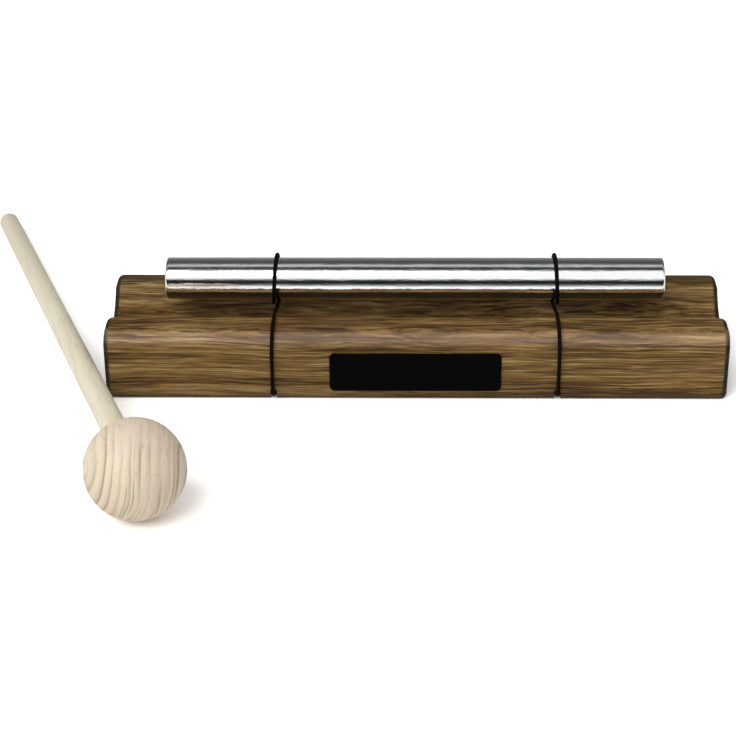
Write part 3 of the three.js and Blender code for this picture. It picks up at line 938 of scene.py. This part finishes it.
def add_stick(place, axis):
    """The beater's handle: a straight taper from the bore's floor to a rounded tip."""
    start = BORE_FLOOR + GAP
    flat_tip = HANDLE_TIP / 2 - HANDLE_TIP_ROUNDING
    profile = [(0.0, start), (HANDLE_NECK / 2, start), (HANDLE_NECK / 2, HEAD_RADIUS)]
    profile += arc((flat_tip, HANDLE_SHOULDER), HANDLE_TIP_ROUNDING, 0.0, QUARTER_TURN, TIP_STEPS)
    profile.append((0.0, HANDLE_REACH))
    stick = lathe(profile, HANDLE_SIDES)
    bmesh.ops.transform(stick, matrix=place, verts=stick.verts)
    wood = pale_wood(
        "handle_wood", place.translation * MM, normal=(0.75, 0.2, 0.6), along=axis,
        pitch=0.0052, pith=0.5, depth=0.38,
        early=(tone(227, 220, 194), tone(225, 215, 190)), late_tone=tone(199, 181, 150),
    )
    mesh = mesh_from("beater_stick", stick, smooth_degrees=50.0)
    add_piece("beater_stick", mesh, wood, "mallet", "beater_wood", "mallet_handle")


# Studio, in metres. Each stop of a card is its angle up from the player's side as seen from the
# bar, in degrees, its distance from the bar, and its shade.

FLOOR_SHADE, FLOOR_SHADE_IN_METAL, FLOOR_SHADE_SEEN = 0.94, 1.1, 1.6
FLOOR_REACH, FLOOR_DROP = 6.0, 0.0001
WORLD_LIGHT, WORLD_SEEN = 0.46, 1.0
SUN_FROM, SUN_STRENGTH, SUN_SPREAD = (-0.40, -0.48, 0.78), 2.0, math.radians(52)
CARD_HALF_WIDTH = 7.0
CARD_FRONT = (
    (-23, 0.085, 1.1), (-13, 0.15, 0.40), (-8, 0.24, 0.14), (-2, 0.8, 0.04), (4, 0.9, 0.012),
    (12, 0.9, 0.03), (16, 0.9, 0.12), (22, 0.9, 0.60), (29, 0.9, 1.1),
)
CARD_TOP = (
    (64, 1.2, 1.1), (70, 1.2, 0.5), (75, 1.2, 0.12), (80, 1.2, 0.03), (87, 1.2, 0.08),
    (97, 1.2, 0.52), (102, 1.2, 0.50), (112, 1.2, 0.11), (124, 1.2, 0.07), (144, 1.2, 0.12),
    (170, 1.2, 0.30), (181.5, 1.2, 0.35),
)


def ray_is(tree, *kinds):
    """1 for rays of any kind named, such as Camera or Glossy, and 0 for the rest."""
    path = tree.nodes.new("ShaderNodeLightPath")
    result = path.outputs[f"Is {kinds[0]} Ray"]
    for kind in kinds[1:]:
        either = tree.nodes.new("ShaderNodeMath")
        either.operation = "MAXIMUM"
        tree.links.new(result, either.inputs[0])
        tree.links.new(path.outputs[f"Is {kind} Ray"], either.inputs[1])
        result = either.outputs["Value"]
    return result


def add_sheet(name, mesh, material):
    mesh.materials.append(material)
    sheet = bpy.data.objects.new(name, mesh)
    bpy.context.scene.collection.objects.link(sheet)
    return sheet


def add_floor():
    """A pale floor just under the object. Seen directly it is white, and still takes shadows."""
    g = Graph("floor")
    shade = g.add(
        FLOOR_SHADE,
        (ray_is(g.tree, "Camera", "Transmission"), FLOOR_SHADE_SEEN - FLOOR_SHADE),
        (ray_is(g.tree, "Glossy"), FLOOR_SHADE_IN_METAL - FLOOR_SHADE),
    )
    g.finish(shade, 1.0, Specular_IOR_Level=0.0)
    reach = FLOOR_REACH
    corners = [(-reach, -reach, 0), (reach, -reach, 0), (reach, reach, 0), (-reach, reach, 0)]
    mesh = bpy.data.meshes.new("floor")
    mesh.from_pydata(corners, [], [(0, 1, 2, 3)])
    add_sheet("floor", mesh, g.material).location.z = -FLOOR_DROP


def add_card(name, stops):
    """A studio card that only reflections show, graded from stop to stop."""
    g = Graph(name)
    painted = g.node("Attribute")
    painted.attribute_name = "shade"
    g.link(painted.outputs["Color"], g.shader.inputs["Emission Color"])
    g.finish((0.0, 0.0, 0.0, 1.0), 1.0, Specular_IOR_Level=0.0, Emission_Strength=1.0)
    points, shades = [], []
    for degrees, distance, shade in stops:
        y = -distance * math.cos(math.radians(degrees))
        z = BAR_Z * MM + distance * math.sin(math.radians(degrees))
        points += [(-CARD_HALF_WIDTH, y, z), (CARD_HALF_WIDTH, y, z)]
        shades += [shade, shade]
    strips = [(i, i + 1, i + 3, i + 2) for i in range(0, len(points) - 2, 2)]
    mesh = bpy.data.meshes.new(name)
    mesh.from_pydata(points, [], strips)
    layer = mesh.color_attributes.new("shade", "FLOAT_COLOR", "POINT")
    for item, shade in zip(layer.data, shades):
        item.color = (shade, shade, shade, 1.0)
    card = add_sheet(name, mesh, g.material)
    card.visible_camera = False
    card.visible_diffuse = False
    card.visible_shadow = False
    card.visible_transmission = False


def add_world():
    """A plain grey light all round, which is white where it is seen directly or in a reflection."""
    world = bpy.data.worlds.new("studio")
    world.use_nodes = True
    tree = world.node_tree
    background = tree.nodes["Background"]
    background.inputs["Color"].default_value = (1.0, 1.0, 1.0, 1.0)
    strength = tree.nodes.new("ShaderNodeMapRange")
    strength.inputs["To Min"].default_value = WORLD_LIGHT
    strength.inputs["To Max"].default_value = WORLD_SEEN
    seen = ray_is(tree, "Camera", "Glossy", "Transmission")
    tree.links.new(seen, strength.inputs["Value"])
    tree.links.new(strength.outputs["Result"], background.inputs["Strength"])
    bpy.context.scene.world = world


def add_key():
    """One broad soft lamp from above the player's left."""
    data = bpy.data.lights.new("key", "SUN")
    data.energy = SUN_STRENGTH
    data.angle = SUN_SPREAD
    key = bpy.data.objects.new("key", data)
    key.rotation_euler = Vector(SUN_FROM).to_track_quat("Z", "Y").to_euler()
    bpy.context.scene.collection.objects.link(key)


make_camera()
add_base()
add_plate()
add_bar()
elastic = braided_elastic()
add_cord(-1, "left", elastic)
add_cord(1, "right", elastic)
mallet = mallet_place()
add_ball(*mallet)
add_stick(*mallet)
add_floor()
add_card("card_front", CARD_FRONT)
add_card("card_top", CARD_TOP)
add_world()
add_key()
bpy.context.scene.view_settings.view_transform = "Standard"
